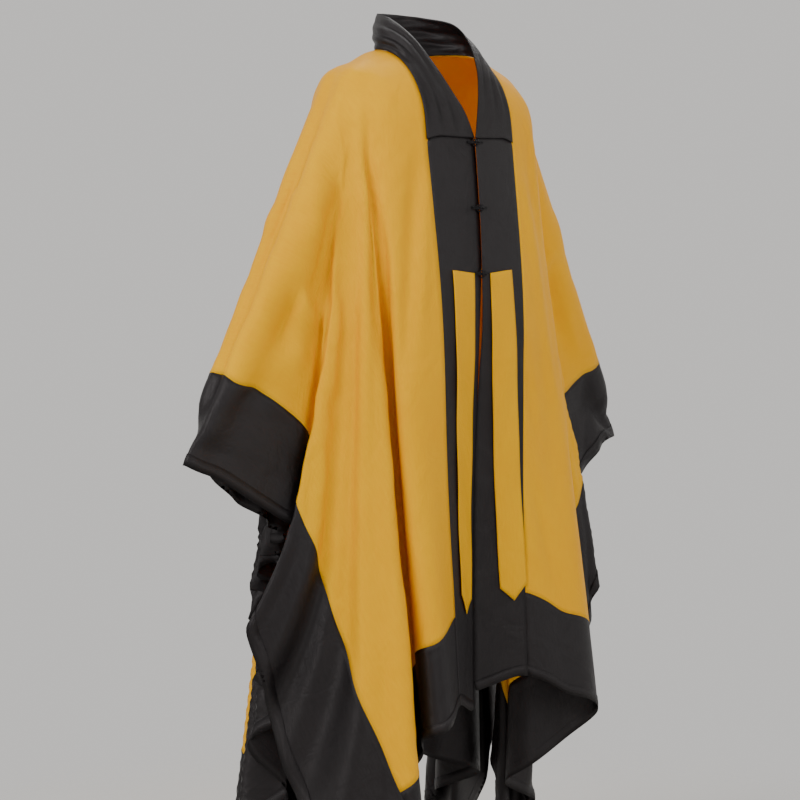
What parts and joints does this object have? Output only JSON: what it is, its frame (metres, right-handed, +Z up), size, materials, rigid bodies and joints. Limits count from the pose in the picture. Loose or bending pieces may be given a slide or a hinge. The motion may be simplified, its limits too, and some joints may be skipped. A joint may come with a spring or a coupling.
{
  "type": "taoist robe",
  "caption": "Wide open-fronted ceremonial robe in its worn form, with dark borders, a standing collar, knot buttons and hanging ribbons.",
  "frame": {"origin": "middle of the neck, level with the highest point of the shoulder line, where the shoulders carry the robe", "axes": "+Z up, the front faces -Y, the wearer's right is -X"},
  "size_m": [1.1055, 0.4498, 1.5749],
  "materials": {
    "yellow_cloth": "thin silky polyester, warm yellow",
    "black_cloth": "thin silky polyester, black",
    "black_cord": "knotted cord, black"
  },
  "bodies": {
    "root": {"body_right": "yellow_cloth", "body_left": "yellow_cloth", "side_border_right": "black_cloth", "side_border_left": "black_cloth", "hem_front_right": "black_cloth", "hem_front_left": "black_cloth", "hem_back_right": "black_cloth", "hem_back_left": "black_cloth", "front_band_right": "black_cloth", "front_band_left": "black_cloth", "collar": "black_cloth", "ribbon_right": "yellow_cloth", "ribbon_left": "yellow_cloth", "button_1": "black_cord", "button_2": "black_cord", "button_3": "black_cord", "loop_1": "black_cord", "loop_2": "black_cord", "loop_3": "black_cord"}
  },
  "joints": []
}
